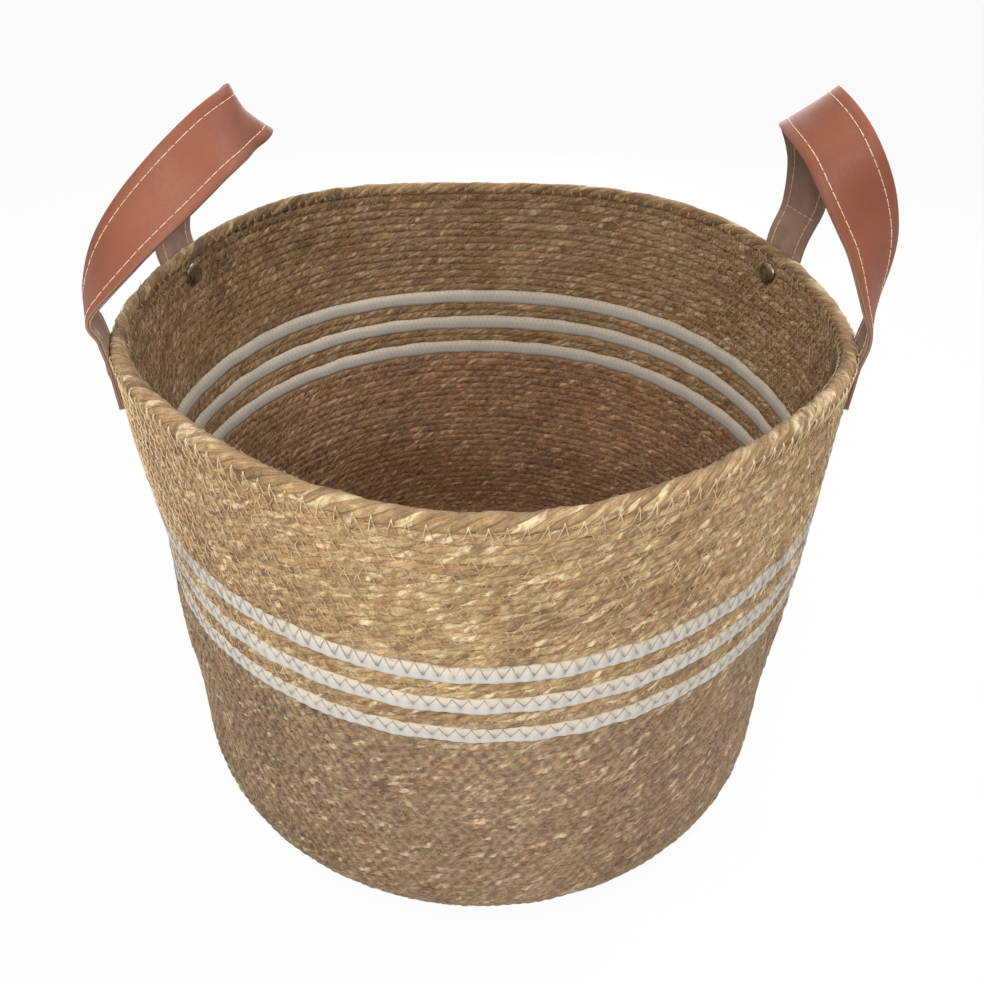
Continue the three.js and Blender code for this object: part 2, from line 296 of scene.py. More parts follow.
def wall_radius(z):
    climb = (z - CORNER_RADIUS) / (RIM_HEIGHT - CORNER_RADIUS)
    waist = WAIST_DEPTH * np.exp(-(((z - WAIST_HEIGHT) / WAIST_REACH) ** 2))
    start = WAIST_DEPTH * math.exp(-(((CORNER_RADIUS - WAIST_HEIGHT) / WAIST_REACH) ** 2))
    return FOOT_RADIUS + (RIM_RADIUS - FOOT_RADIUS) * climb - waist + start * (1 - climb)


def shaped(radius, angle, z):
    """A place on the true lathe shape, moved by the waves of the rim and pressed in a little at the left."""
    share = (z / RIM_HEIGHT) ** 2
    out = RIM_OVAL * np.cos(2 * angle) + RIM_LOBES * np.sin(3 * angle) + RIM_SQUARE * np.cos(4 * angle)
    lift = RIM_TILT * np.sin(angle) + RIM_SADDLE * np.cos(2 * angle) + RIM_SCALLOP * np.cos(4 * angle)
    aside = (np.mod(angle, TURN) - DENT_ANGLE) / DENT_SPREAD
    dent = DENT_DEPTH * np.exp(-(aside**2) - ((z - DENT_HEIGHT) / DENT_REACH) ** 2)
    reach = radius + share * out - dent
    return np.stack([reach * np.cos(angle), reach * np.sin(angle), z + share * lift], axis=-1)


CORNER_CENTRE = FOOT_RADIUS - CORNER_RADIUS
CORNER_LENGTH = CORNER_RADIUS * math.pi / 2


def outline(length):
    """The wall's outside at a length from the edge of the flat base: its radius, its z and the way out."""
    length = np.asarray(length, float)
    turn = np.clip(length, 0, CORNER_LENGTH) / CORNER_RADIUS
    z_wall = CORNER_RADIUS + length - CORNER_LENGTH
    on_wall = length >= CORNER_LENGTH
    radius = np.where(on_wall, wall_radius(z_wall), CORNER_CENTRE + CORNER_RADIUS * np.sin(turn))
    z = np.where(on_wall, z_wall, CORNER_RADIUS - CORNER_RADIUS * np.cos(turn))
    radius = radius + np.minimum(length, 0)
    return radius, z, np.where(on_wall, 1.0, np.sin(turn)), np.where(on_wall, 0.0, -np.cos(turn))


def over_wall(length, angle, depth):
    """A place over (or, below 0, inside) the wall's outside."""
    radius, z, out_r, out_z = outline(length)
    return shaped(radius + depth * out_r, angle, np.maximum(z + depth * out_z, 0))


def length_at(z):
    return CORNER_LENGTH + z - CORNER_RADIUS


# Heights of the stack, from the rim down
UPPER_TOP = RIM_HEIGHT - RIM_CORD_HEIGHT
UPPER_BOTTOM = UPPER_TOP - ROWS_ABOVE_WHITE * ROW_PITCH
WHITE_STEP = WHITE_HEIGHT + SPACER_ROWS * ROW_PITCH
WHITE_BOTTOMS = [UPPER_BOTTOM - WHITE_HEIGHT - k * WHITE_STEP for k in range(3)]
LOWER_TOP = WHITE_BOTTOMS[-1]
LOWER_ROWS = round(length_at(LOWER_TOP) / ROW_PITCH)
LOWER_PITCH = length_at(LOWER_TOP) / LOWER_ROWS


def waves(rng, angle, sizes, counts):
    """Uneven waves round a ring, which meet at its ends. Each size has its own range of crests."""
    each, ease = 3, 1.7
    total = np.zeros_like(angle)
    for size, (low, high) in zip(sizes, counts):
        for _ in range(each):
            total = total + size * np.sin(rng.integers(low, high) * angle + rng.uniform(0, TURN)) / ease
    return total


# One row of cord


def section_turns(outer, inner):
    """Turns round a cord's section from its hidden underside, close together on the two faces that show."""
    first = np.linspace(-64, 64, outer)
    second = np.linspace(118, 242, inner)
    return np.radians(np.concatenate([[-90], first, [90], second]))


def squared(wave, power):
    """A sine or cosine, flattened so that it runs round a rounded square."""
    return np.sign(wave) * np.abs(wave) ** power


def lobes(phase):
    """The round backs of the strands that lie side by side in a cord, with sharp creases between them."""
    across = 2 * (phase - np.floor(phase)) - 1
    return np.sqrt(1 - 0.94 * across**2) - 0.72


def pinched(angle, stitches, pit, sharpness):
    """How near each angle is to one of the stitches round a ring, from 0 to 1. One of them is at the pit."""
    return np.abs(np.cos(stitches * (angle - pit) / 2)) ** sharpness


def edge_waves(length, angle):
    """How far the seam between two rows wanders. Both rows follow it, so they stay closed together."""
    if length < ROW_PITCH / 2:
        return np.zeros_like(angle)[:, None]
    rng = np.random.default_rng(SEED + round(10 * float(length)))
    return waves(rng, angle, (0.2, 0.16), ((3, 9), (18, 50)))[:, None]


def add_cord(grids, rng, row, pitch, look, strips, strip):
    """One ring of cord. look says how it is twisted and squeezed, and its stitches pull it in."""
    radius, z, out_r, out_z = outline(row["centre"])
    stitches, pit = row["stitches"], row["pit"]
    steps = round(TURN * float(radius) / look["step"])
    angle = pit + np.arange(steps) / steps * TURN
    turn = section_turns(*look["columns"])
    half_depth, half_height = look["depth"] / 2, pitch / 2 * look["fill"]
    rise = squared(np.sin(turn), 2 / look["squareness"])
    out = half_depth * squared(np.cos(turn), 2 / look["squareness"])
    lays = max(1, round(TURN * float(radius) / look["lay"]))
    swell = waves(rng, angle, (0.05, 0.05), ((4, 14), (30, 80)))[:, None]
    drift = look["drift"] * waves(rng, angle, (0.5, 0.5), ((3, 9), (18, 50)))[:, None]
    push = look["drift"] * waves(rng, angle, (0.4, 0.5), ((3, 9), (20, 60)))[:, None]
    slip = look["slip"] * waves(rng, angle, (0.16, 0.14), ((8, 20), (40, 90)))
    turned = np.append(angle - pit, TURN)
    ring_turn = np.append(turn, turn[0] + TURN)
    ring_slip = np.append(slip, slip[0])
    twist = lays * turned[:, None] / TURN
    bundle = look["bundles"] * (ring_turn / TURN - twist) + ring_slip[:, None]
    strength = 1 + waves(rng, angle, (0.3, 0.3), ((4, 14), (50, 110)))[:, None]
    relief = look["relief"] * strength * lobes(bundle[:-1, :-1])
    aside = waves(rng, angle, (0.002, 0.002), ((5, 20), (30, 70)))
    sewn = pinched(angle + aside, stitches, pit, look["sharpness"])[:, None]
    pulled = sewn * np.exp(-((np.sin(turn) / look["pinch_height"]) ** 2))
    inner = np.cos(turn) < 0
    pinch = np.where(inner, look["inner_pinch"], look["pinch"])
    grow = 1 + swell + relief / half_depth + pinch * (0.35 - pulled)
    depth = out * grow + push - half_depth + look["proud"]
    height = half_height * rise * (1 + swell * 0.2 + relief * 0.25 - pinch * 0.08 * sewn)
    upper_share = (1 + np.sin(turn)) / 2
    height = height + edge_waves(row["groove"] - pitch, angle) * (1 - upper_share)
    height = height + edge_waves(row["groove"], angle) * upper_share + drift * np.cos(turn) ** 2
    up_z = np.maximum(z + depth * out_z + height * out_r, 0)
    grid = shaped(radius + depth * out_r - height * out_z, angle[:, None], up_z)
    length = turned * stitches * look["stitch"] * MM / TURN
    maps = {
        "cord": np.stack(np.broadcast_arrays(length[:, None], bundle), axis=-1),
        "OFBake": strip_places(np.linspace(0, 1, steps + 1), len(turn), strips, strip),
    }
    grids.add(grid, maps, {"row": rng.uniform(0, 1), "rise": rise, "inner": inner * 1.0}, close_rows=True)


JUTE_ROW = {
    "lay": LAY_LENGTH,
    "bundles": BUNDLES,
    "relief": 0.5,
    "fill": 1.14,
    "depth": WALL_THICKNESS,
    "squareness": 2.6,
    "proud": 0.1,
    "drift": 0.36,
    "slip": 1.0,
    "pinch": 0.16,
    "inner_pinch": 0.14,
    "pinch_height": 1.6,
    "sharpness": 5,
    "stitch": ROW_STITCH,
    "step": 0.9,
    "columns": (8, 6),
}
LOWER_ROW = dict(JUTE_ROW, relief=0.14, squareness=4.6, proud=0.0, pinch=0.18, step=1.0, columns=(7, 5))
RIM_ROW = dict(JUTE_ROW, lay=33, bundles=5, relief=0.42, fill=1.1, depth=WALL_THICKNESS + 1.0,
               squareness=2.2, proud=RIM_CORD_BULGE, drift=0.5, slip=0.4, pinch=0.08, stitch=RIM_STITCH,
               columns=(15, 13))
WHITE_ROW = dict(JUTE_ROW, lay=60, bundles=3, relief=0.0, fill=1.08, depth=WALL_THICKNESS + 2 * WHITE_BULGE,
                 proud=WHITE_BULGE, drift=0.26, pinch=0.21, inner_pinch=0.02, pinch_height=0.8, sharpness=2,
                 stitch=WHITE_STITCHES[1], step=0.7, columns=(14, 9))


def cord_rows(name, rows, pitch, look, material, seed, *nodes):
    """Rings of cord that make one piece of the wall and stand for the CAD model's nodes."""
    rng = np.random.default_rng(seed)
    grids = Grids()
    for strip, row in enumerate(rows):
        add_cord(grids, rng, row, pitch, look, len(rows), strip)
    piece = grids.piece(name, material)
    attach(piece, "basket")
    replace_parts(piece, *nodes)


def sewn_rows(bottom, pitch, rows, stitch, seed):
    """Rows of cord above each other, each with the zigzag in the groove over it.

    Every round of sewing starts about half a stitch behind the one above, so the threads line up in
    slanting lines.
    """
    rng = np.random.default_rng(seed)
    pit = rng.uniform(0, TURN)
    made = []
    for k in range(rows):
        groove = bottom + (k + 1) * pitch
        stitches = 6 * round(TURN * float(outline(groove)[0]) / stitch / 6)
        made.append({"centre": groove - pitch / 2, "groove": groove, "stitches": stitches, "pit": pit})
        pit -= TURN / stitches * rng.uniform(0.42, 0.6)
    return made


UPPER_ROWS = sewn_rows(length_at(UPPER_BOTTOM), ROW_PITCH, ROWS_ABOVE_WHITE, ROW_STITCH, SEED + 90)
RIM_ROUND = sewn_rows(length_at(UPPER_TOP), RIM_CORD_HEIGHT, 1, RIM_STITCH, SEED + 91)
LOWER_ROUNDS = sewn_rows(0, LOWER_PITCH, LOWER_ROWS, ROW_STITCH, SEED + 92)
WHITE_ROUNDS = [
    sewn_rows(length_at(bottom), WHITE_HEIGHT, 1, stitch, SEED + 93 + k)
    for k, (bottom, stitch) in enumerate(zip(WHITE_BOTTOMS, WHITE_STITCHES))
]
SPACER_ROUNDS = [
    sewn_rows(length_at(bottom) - SPACER_ROWS * ROW_PITCH, ROW_PITCH, SPACER_ROWS, ROW_STITCH, SEED + 96 + k)
    for k, bottom in enumerate(WHITE_BOTTOMS[:2])
]


# How many rows make one piece, which keeps the pieces small enough to handle
UPPER_SHARE, LOWER_SHARE = 5, 7


def woven_body(jute, rim_jute, lower_jute, white):
    for part, first in enumerate(range(0, ROWS_ABOVE_WHITE, UPPER_SHARE)):
        rows = UPPER_ROWS[first : first + UPPER_SHARE]
        cord_rows(f"upper_rows_{part + 1}", rows, ROW_PITCH, JUTE_ROW, jute, SEED + part, "upper_wall_coil")
    cord_rows("rim_strand", RIM_ROUND, RIM_CORD_HEIGHT, RIM_ROW, rim_jute, SEED + 11, "rim_cord")
    for k, level in enumerate(("upper", "middle", "lower")):
        cord_rows(f"white_braid_{level}", WHITE_ROUNDS[k], WHITE_HEIGHT, WHITE_ROW, white, SEED + 12 + k,
                  f"white_cord_{level}")
    for k, level in enumerate(("upper", "lower")):
        cord_rows(f"between_rows_{level}", SPACER_ROUNDS[k], ROW_PITCH, JUTE_ROW, jute, SEED + 16 + k,
                  f"spacer_rows_{level}")
    for part, first in enumerate(range(0, LOWER_ROWS, LOWER_SHARE)):
        rows = LOWER_ROUNDS[first : first + LOWER_SHARE]
        cord_rows(f"lower_rows_{part + 1}", rows, LOWER_PITCH, LOWER_ROW, lower_jute, SEED + 20 + part,
                  "lower_wall_coil")
    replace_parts(base_spiral(lower_jute), "base_coil")


def base_spiral(material):
    """The flat base is one cord wound in a spiral from the middle to the rounded bottom edge.

    It begins as a point, and its last turn runs out in a wedge against the first row of the wall.
    """
    extra_turn, steps_a_turn, flatness, fullness, strips = 0.97, 220, 0.62, 1.04, 26
    turns = CORNER_CENTRE / ROW_PITCH + extra_turn
    steps = int(turns * steps_a_turn)
    share = (np.arange(steps + 1) / steps) ** 0.5
    angle = share * turns * TURN
    outer_edge = np.minimum(angle / TURN * ROW_PITCH, CORNER_CENTRE + 0.2)
    inner_edge = np.maximum((angle / TURN - 1) * ROW_PITCH, 0)
    middle = (outer_edge + inner_edge) / 2
    travelled = added_up(np.diff(angle) * (middle[1:] + middle[:-1]) / 2)
    turn = section_turns(6, 6)
    out = WALL_THICKNESS / 2 * squared(np.cos(turn), flatness)
    up = ROW_PITCH / 2 * fullness * squared(np.sin(turn), flatness)
    ring_turn = np.append(turn, turn[0] + TURN)
    bundle = BUNDLES * (ring_turn / TURN - travelled[:, None] / LAY_LENGTH)
    relief = 0.3 * lobes(bundle[:, :-1])
    narrow = np.maximum((outer_edge - inner_edge) / ROW_PITCH, 0.05)[:, None]
    push = (0.08 * np.sin(travelled / 17) + 0.08 * np.sin(travelled / 7.3))[:, None]
    high = np.maximum(WALL_THICKNESS / 2 - out * (0.97 + relief / 2.5) + push, 0)
    radius = np.maximum(middle[:, None] + up * narrow, 0.01)
    grid = np.stack([radius * np.cos(angle)[:, None], radius * np.sin(angle)[:, None], high], axis=-1)
    along = travelled / travelled[-1] * strips
    strip = np.minimum(along.astype(int), strips - 1)
    maps = {
        "cord": np.stack(np.broadcast_arrays(travelled[:, None] * MM, bundle), axis=-1),
        "OFBake": strip_places(along - strip, len(turn), strips, strip[:, None]),
    }
    tones = {
        "row": np.floor(angle / TURN)[:, None] * 0.37 % 1,
        "rise": np.sin(turn),
        "inner": (np.cos(turn) < 0) * 1.0,
    }
    grids = Grids()
    grids.add(grid, maps, tones)
    piece = grids.piece("base_spiral", material)
    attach(piece, "basket")
    return piece


# Sewing thread


def thread_tubes(route, radius):
    """Thin three-sided threads along routes of (threads, places, 3), as (threads, places, 3 round, 3)."""
    ahead = unit(np.gradient(route, axis=1))
    side = unit(np.cross(ahead, route * np.array([0.01, 0.01, 0]) + np.array([0, 0, 0.3])))
    over = np.cross(side, ahead)
    turn = np.arange(3) / 3 * TURN
    rings = side[:, :, None] * np.cos(turn)[:, None] + over[:, :, None] * np.sin(turn)[:, None]
    return route[:, :, None] + np.reshape(radius, (-1, 1, 1, 1)) * rings


class Threads:
    """Collects thin closed threads that become one mesh."""

    def __init__(self):
        self.points = []
        self.faces = []
        self.count = 0

    def add(self, route, radius):
        tubes = thread_tubes(route, radius)
        number, places = tubes.shape[:2]
        index = np.arange(number * places * 3).reshape(number, places, 3) + self.count
        beside = np.roll(index, -1, axis=2)
        first, second = index[:, :-1], index[:, 1:]
        first_beside, second_beside = beside[:, :-1], beside[:, 1:]
        self.faces.append(np.stack([first, second, second_beside], axis=-1).reshape(-1, 3))
        self.faces.append(np.stack([first, second_beside, first_beside], axis=-1).reshape(-1, 3))
        self.faces.append(index[:, 0])
        self.faces.append(index[:, -1, ::-1])
        self.points.append(tubes.reshape(-1, 3))
        self.count += number * places * 3

    def piece(self, name, material):
        return make_piece(name, np.concatenate(self.points) * MM, np.concatenate(self.faces), material)


# How far the sewing stands out round the front, from the left side (-1) to the right side (1)
LOOSE_THREADS = ((-1, -0.6, -0.2, 0.1, 0.6, 0.85, 1), (1.1, 0.85, 0.1, -1.0, -1.1, -0.2, 0.6))


def zigzag(threads, rng, row, reach, side, proud, radius, waver=0.1, places=5, even=False, groove=None,
           lift=0.0, dip=0.45, spread=1.0):
    """One round of zigzag sewing over a groove. side is 1 outside and -1 inside the wall.

    The legs that run across the lay of the cord stand proud at the left side of the basket, less at the
    right, and they sink into the cords at its front. The other legs sink between the strands everywhere.
    Where the sewing is even, all legs stand equally proud. Both legs rise by lift towards the upper cord,
    and their ends dip into the cords. With a spread below 1 the two legs of a stitch stand closer together.
    """
    groove = row["groove"] if groove is None else groove
    legs = 2 * row["stitches"]
    step = TURN / legs
    at = row["pit"] + (np.arange(legs) - 1 + rng.uniform(-waver, waver, legs)) * step
    after = np.append(at[1:], at[0] + TURN)
    tall = np.arange(legs) % 2 == 0
    scatter = rng.uniform(0.88, 1.1, legs)
    level = groove + np.where(tall, reach[0], -reach[1]) * scatter
    climb = np.append(level[1:], level[0]) - level
    face = 0 if side > 0 else -WALL_THICKNESS
    aside = np.abs(np.cos(at))
    slack = 0.1 + aside
    if side > 0:
        slack = np.interp(np.cos(at), *LOOSE_THREADS) + 0.8 * np.maximum(np.sin(at), 0)
    over = np.where(tall, proud * slack * rng.uniform(0.5, 1.3, legs), rng.uniform(-0.8, -0.05, legs))
    thickness = radius * (0.72 + 0.36 * aside)
    if even:
        over = np.full(legs, proud)
        thickness = radius
    begin = np.where(tall, at, after - spread * (after - at))
    stations = []
    for share in np.linspace(0, 1, places):
        depth = np.full(legs, -dip) if share in (0, 1) else over
        depth = depth + lift * np.where(tall, 1 - share, share)
        stations.append(over_wall(level + climb * share, begin + spread * (after - at) * share,
                                  face + side * depth))
    threads.add(np.stack(stations, axis=1), thickness)


def sewn_rounds(name, rows, side, reach, proud, radius, material, seed, **ways):
    rng = np.random.default_rng(seed)
    threads = Threads()
    for row in rows:
        zigzag(threads, rng, row, reach, side, proud, radius, **ways)
    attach(threads.piece(name, material), "basket")


def sewing(thread, shaded_inner_thread, lower_thread, white_thread):
    """All the zigzag rounds, outside and inside."""
    upper = UPPER_ROWS[:-1] + [rows[0] for rows in SPACER_ROUNDS]
    upper_reach = (ROW_PITCH * STITCH_REACH,) * 2
    lower_reach = (LOWER_PITCH * 0.6,) * 2
    half = LOWER_ROWS // 2
    for side, where, shade in ((1, "outside", thread), (-1, "inside", shaded_inner_thread)):
        sewn_rounds(f"upper_stitches_{where}", upper, side, upper_reach, 0.4, THREAD_RADIUS, shade,
                    SEED + 40 + side)
        sewn_rounds(f"rim_stitches_{where}", RIM_ROUND, side, (3.7, 2.8), 0.55, THREAD_RADIUS * 0.95, shade,
                    SEED + 44 + side, places=6, lift=0.9, dip=0.1, even=True, groove=length_at(UPPER_TOP),
                    spread=0.62, waver=0.22)
        for part, rows in enumerate((LOWER_ROUNDS[:half], LOWER_ROUNDS[half:-1])):
            sewn_rounds(f"lower_stitches_{where}_{part + 1}", rows, side, lower_reach, 0.3, 0.17,
                        lower_thread, SEED + 48 + side + 10 * part, places=4)
    rng = np.random.default_rng(SEED + 52)
    threads = Threads()
    for k, (row,) in enumerate(WHITE_ROUNDS):
        reach = (1.5, WHITE_HEIGHT * 0.62) if k == 0 else (0.3, WHITE_HEIGHT * 0.5)
        zigzag(threads, rng, row, reach, 1, WHITE_BULGE, 0.13, waver=0.06, places=7, even=True, dip=-0.3)
        zigzag(threads, rng, row, (1.3, 0.5), 1, 0.3, 0.1, groove=length_at(WHITE_BOTTOMS[k]))
    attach(threads.piece("white_stitches", white_thread), "basket")


def loose_fibres(name, low, high, number, material, seed, slant=0.45, thickness=0.1, spring=0.12):
    """Fine fibres that have worked loose and lie over the rows in many directions."""
    rng = np.random.default_rng(seed)
    angle = rng.uniform(0, TURN, number)
    level = rng.uniform(low, high, number)
    radius = outline(level)[0]
    slope = rng.normal(0.14, slant, number)
    span = rng.uniform(3, 11, number)
    bow = rng.normal(0, 0.9, number)
    lift = np.abs(rng.normal(spring, 0.1 + spring, number))
    outside_share, clear = 0.62, 0.05
    outside = rng.uniform(0, 1, number) < outside_share
    face = np.where(outside, clear, -WALL_THICKNESS - clear)
    sign = np.where(outside, 1, -1)
    stations = []
    for share in np.linspace(-0.5, 0.5, 5):
        arch = 1 - 4 * share**2
        round_way = share * span * np.cos(slope)
        up_way = share * span * np.sin(slope) + bow * arch
        depth = face + sign * (lift * arch - 0.25 * (1 - arch))
        stations.append(over_wall(level + up_way, angle + round_way / radius, depth))
    threads = Threads()
    threads.add(np.stack(stations, axis=1), thickness)
    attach(threads.piece(name, material), "basket")


# Handles


def wall_seat(angle, z, distance):
    """A place over the wall, with the way out of it and the way round it."""
    small = 1e-3
    here = shaped(wall_radius(z), angle, z)
    along = shaped(wall_radius(z), angle + small, z) - here
    up = shaped(wall_radius(z + small), angle, z + small) - here
    out = unit(np.cross(along, up))
    return here + out * distance, out, unit(along)


def handle_frame(handle):
    bearing = math.radians(handle["bearing"])
    half = math.asin(RIVET_SPACING / 2 / RIM_RADIUS)
    out = np.array([math.cos(bearing), math.sin(bearing), 0])
    along = np.array([-math.sin(bearing), math.cos(bearing), 0])
    angles = (bearing - half, bearing + half)
    seat = SEAT_GAP + STRAP_THICKNESS / 2 + STRAP_LEAN
    lines = np.array([wall_seat(angle, RIM_HEIGHT, seat)[0] for angle in angles])
    lines[:, 2] = lines[:, 2].mean() + HINGE_RISE
    return {"out": out, "along": along, "angles": angles, "lines": lines, "middle": lines.mean(axis=0)}


def smooth_route(points, steps):
    """A Catmull-Rom curve through the points, with the same number of steps in each span."""
    points = np.asarray(points, float)
    padded = np.vstack([2 * points[0] - points[1], points, 2 * points[-1] - points[-2]])
    places = []
    for k in range(len(points) - 1):
        a, b, c, d = padded[k : k + 4]
        t = (np.arange(steps) / steps)[:, None]
        start, finish = (c - a) / 2, (d - b) / 2
        bend, twist = 3 * (c - b) - 2 * start - finish, 2 * (b - c) + start + finish
        places.append(b + start * t + bend * t**2 + twist * t**3)
    return np.vstack([*places, points[-1:]])


def strap_route(handle, place, steps=14):
    """Centres, ways across and ways out of the smooth face down the whole strap."""
    seat = SEAT_GAP + STRAP_THICKNESS / 2
    rivet = RIM_HEIGHT - RIVET_DROP
    heights = (rivet - STRAP_END_LENGTH, rivet, rivet + CAP_RADIUS + SEAT_GAP)

    def fastened(end):
        """The places of a fastened end from its tip up to the bending line, each with its turn."""
        sign = 1 - 2 * end
        angle = place["angles"][end]
        way = wall_seat(angle, rivet, seat)[2]
        turn = math.degrees(math.atan2(sign * way @ place["along"], sign * way @ place["out"]))
        centres = [wall_seat(angle, z, seat)[0] for z in heights] + [place["lines"][end]]
        return [(centre, (turn, 0)) for centre in centres]

    loop = [
        (place["middle"] + out * place["out"] + along * place["along"] + np.array([0, 0, up]), (turn, tip))
        for out, along, up, turn, tip in handle["loop"]
    ]
    centres, turns = zip(*fastened(0), *loop, *fastened(1)[::-1])
    centre = smooth_route(centres, steps)
    turn, tip = np.radians(smooth_route(turns, steps)).T[:, :, None]
    across = np.cos(tip) * (np.cos(turn) * place["out"] + np.sin(turn) * place["along"])
    across[:, 2] = np.sin(tip[:, 0])
    ahead = unit(np.gradient(centre, axis=0))
    across = unit(across - (across * ahead).sum(axis=1, keepdims=True) * ahead)
    return centre, across, np.cross(across, ahead)


def strap_layer(name, route, profile, material):
    """A layer of a strap: profile is its section as (across, out) points, closed round."""
    centre, across, face = route
    profile = np.asarray(profile, float)
    grid = centre[:, None] + across[:, None] * profile[:, :1] + face[:, None] * profile[:, 1:]
    travelled = added_up(np.linalg.norm(np.diff(centre, axis=0), axis=1))[:, None]
    round_profile = np.vstack([profile, profile[:1]])
    span = added_up(np.linalg.norm(np.diff(round_profile, axis=0), axis=1))
    bake = np.stack(np.broadcast_arrays(travelled / travelled[-1], span / span[-1]), axis=-1)
    cut = np.abs(profile[:, 0]) > STRAP_WIDTH / 2 - 0.01
    grids = Grids()
    grids.add(grid, {"OFBake": bake}, {"cut_edge": cut * 1.0}, caps=True)
    return grids.piece(name, material)


# Sizes of the edge stitching. STITCH_PATH is one stitch as (length, height over the leather)
STITCH_INSET = 4.0
STITCH_LENGTH, STITCH_SPACE = 3.5, 0.25
STITCH_PATH = ((0.0, -0.2), (0.5, 0.08), (STITCH_LENGTH - 0.5, 0.08), (STITCH_LENGTH, -0.2))
EDGE_THREAD_RADIUS = 0.21
CHANNEL = STRAP_WIDTH / 2 - STITCH_INSET
CHANNEL_HALF = 0.9


def strap_profile(low, high, round_edge, dip):
    """A flat layer with rounded edges and shallow channels pressed in by the stitches."""
    half = STRAP_WIDTH / 2
    top = [
        (half - round_edge, high), (CHANNEL + CHANNEL_HALF, high), (CHANNEL, high - dip),
        (CHANNEL - CHANNEL_HALF, high), (CHANNEL / 2, high + 0.05),
    ]
    other = [(-x, z) for x, z in reversed(top)]
    side = [(-half, high - round_edge), (-half, low + round_edge)]
    bottom = [(x, low) for x in np.linspace(-half + round_edge, half - round_edge, 9)]
    return top + [(0, high + 0.08)] + other + side + bottom + [(-x, z) for x, z in reversed(side)]


def stitch_run(threads, strap, offset, depth, rng):
    """Small stitches along a strap, offset from its middle line and lying at a depth over its faces."""
    centre, across, face = strap
    travelled = added_up(np.linalg.norm(np.diff(centre, axis=0), axis=1))
    line = centre + across * offset
    begin = np.arange(STITCH_MARGIN, travelled[-1] - STITCH_MARGIN, STITCH_LENGTH + STITCH_SPACE)
    begin = begin + rng.uniform(-0.15, 0.15, len(begin))

    def at(length, over):
        place, out = (
            np.stack([np.interp(length, travelled, ways) for ways in route.T], axis=1)
            for route in (line, face)
        )
        return place + out * over

    sign = math.copysign(1, depth)
    rings = [at(begin + ahead, depth + sign * over) for ahead, over in STITCH_PATH]
    threads.add(np.stack(rings, axis=1), EDGE_THREAD_RADIUS)


def cross_stitch(threads, route, at_share, depth):
    """A line of stitches straight across the strap."""
    centre, across, face = route
    k = int(at_share * (len(centre) - 1))
    sign = math.copysign(1, depth)
    begin = np.arange(-CHANNEL, CHANNEL - 1, STITCH_LENGTH + STITCH_SPACE)
    rings = [
        centre[k] + (begin + ahead)[:, None] * across[k] + face[k] * (depth + sign * over)
        for ahead, over in STITCH_PATH
    ]
    threads.add(np.stack(rings, axis=1), EDGE_THREAD_RADIUS * 0.8)


# Stitches stop this far from a strap's ends, and the cross stitch lies at this share along the strap
STITCH_MARGIN = 3.0
CROSS_STITCH_SHARE = 0.73


def handle_pieces(leather, lining, edge_thread, bronze):
    rng = np.random.default_rng(SEED + 60)
    half = STRAP_THICKNESS / 2
    split = half - STRAP_THICKNESS * LEATHER_SHARE
    sections = {
        "leather": strap_profile(split, half, 0.35, 0.16),
        "lining": [(-x, -z) for x, z in strap_profile(-split, half, 0.3, 0.1)],
    }
    for side, handle in HANDLES.items():
        place = handle_frame(handle)
        route = strap_route(handle, place)
        names = [f"{side}_{end}" for end in handle["ends"]]
        pieces = []
        for title, slot, node, material in (("leather_strap", "leather", "strap", leather),
                                            ("suede_lining", "lining", "lining", lining)):
            piece = strap_layer(f"{title}_{side}", route, sections[slot], material)
            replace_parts(piece, f"{node}_loop_{side}", *[f"{node}_end_{name}" for name in names])
            pieces.append(piece)
        threads = Threads()
        for offset in (-CHANNEL, CHANNEL):
            for depth in (half - 0.1, -half + 0.06):
                stitch_run(threads, route, offset, depth, rng)
        if side == "right":
            cross_stitch(threads, route, CROSS_STITCH_SHARE, -half + 0.02)
        pieces.append(threads.piece(f"edge_stitching_{side}", edge_thread))
        for piece in pieces:
            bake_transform(piece)
        for angle, name in zip(place["angles"], names):
            rivet_pieces(name, angle, bronze)


def lathe(name, profile, angle, material, steps=40):
    """A round piece on the wall at a rivet. profile is (radius, depth over the wall) from its middle out."""
    place, out, way = wall_seat(angle, RIM_HEIGHT - RIVET_DROP, 0)
    up = np.cross(out, way)
    profile = np.asarray(profile, float)
    turn = np.arange(steps) / steps * TURN
    ring = np.cos(turn)[:, None] * way + np.sin(turn)[:, None] * up
    grid = place + profile[:, None, :1] * ring[None] + profile[:, None, 1:] * out
    if profile[-1, 1] > profile[0, 1]:
        grid = grid[:, ::-1]
    grids = Grids()
    grids.add(grid)
    return grids.piece(name, material)


def rivet_pieces(name, angle, bronze):
    """The domed cap on the strap and the one inside the wall."""
    tiny, edge = 0.01, 0.1
    crown = np.linspace(0, math.pi / 2, 9)[::-1]
    dome = [(tiny + CAP_RADIUS * math.sin(t), CAP_HEIGHT * 0.7 * math.cos(t)) for t in crown]
    seat = 2 * SEAT_GAP + STRAP_THICKNESS - 0.25
    outer = [(tiny, seat - 0.2), (CAP_RADIUS - edge, seat - 0.2), (CAP_RADIUS, seat)]
    outer += [(r, seat + 0.45 + h) for r, h in dome]
    seat = -WALL_THICKNESS - 0.1
    inner = [(tiny, seat + 0.6), (CAP_RADIUS - edge, seat + 0.6), (CAP_RADIUS, seat + 0.3)]
    inner += [(r, seat - 0.35 - h) for r, h in dome]
    for title, profile, stands_for in (("cap", outer, "rivet"), ("back", inner, "rivet_inner_cap")):
        cap = lathe(f"rivet_{title}_{name}", profile, angle, bronze)
        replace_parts(cap, f"{stands_for}_{name}")
        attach(cap, "basket")


# Materials


